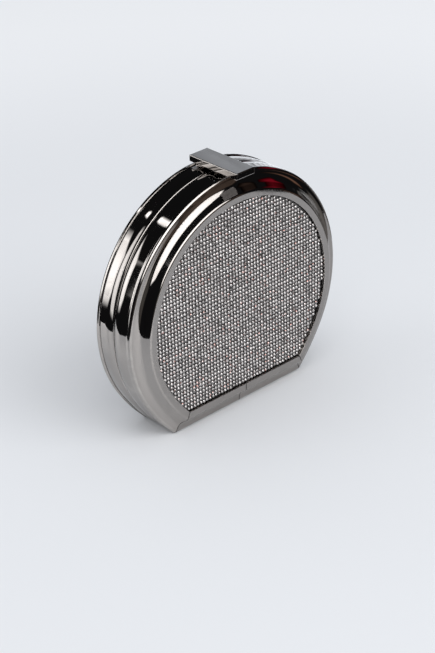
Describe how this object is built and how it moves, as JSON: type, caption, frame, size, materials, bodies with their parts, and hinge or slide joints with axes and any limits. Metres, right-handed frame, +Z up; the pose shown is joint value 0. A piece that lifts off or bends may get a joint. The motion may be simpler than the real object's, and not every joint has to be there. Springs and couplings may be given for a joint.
{
  "type": "minaudiere",
  "caption": "Rigid evening clutch shaped as a circle cut flat at the base: moulded metal frame, crystal mesh panels, base hinge and a lift bar clasp.",
  "frame": {"origin": "on the surface the case stands on, in the middle of its width and of its whole depth", "axes": "+X along the base to the right as seen from the front panel, -Y out of the front panel, +Z up"},
  "size_m": [0.1368, 0.0386, 0.1287],
  "materials": {
    "gunmetal": "polished black-nickel plating",
    "crystal": "foil-backed faceted glass stones set in a dark metal mesh",
    "backing_board": "matt black board",
    "lining": "short-pile black suede cloth",
    "steel": "fine brushed, dark nickel",
    "magnet": "nickel-plated magnet"
  },
  "bodies": {
    "back_half": {"back_frame_arc": "gunmetal", "back_rail_left": "gunmetal", "back_rail_right": "gunmetal", "back_board": "backing_board", "back_crystal_mesh": "crystal", "back_lining": "lining", "mouth_tongue": "steel", "hinge_leaf_back": "steel", "hinge_rivets_back": "steel", "hinge_pin": "steel", "bar_hinge_block": "gunmetal", "bar_hinge_screw": "steel", "bar_pin": "steel"},
    "front_half": {"front_frame_arc": "gunmetal", "front_rail_left": "gunmetal", "front_rail_right": "gunmetal", "front_board": "backing_board", "front_crystal_mesh": "crystal", "front_lining": "lining", "hinge_leaf_front": "steel", "hinge_rivets_front": "steel", "catch_block": "gunmetal", "catch_screw": "steel", "catch_keeper": "steel"},
    "clasp": {"lift_bar": "gunmetal", "bar_magnet": "magnet"}
  },
  "joints": [
    {"name": "base_hinge", "type": "hinge", "parent": "back_half", "child": "front_half", "pos_m": [0, 0.0017, 0.0009], "axis": [1, 0, 0], "range_deg": [0, 75]},
    {"name": "bar_lift", "type": "hinge", "parent": "back_half", "child": "clasp", "pos_m": [0, 0.0106, 0.1263], "axis": [-1, 0, 0], "range_deg": [0, 15]}
  ]
}
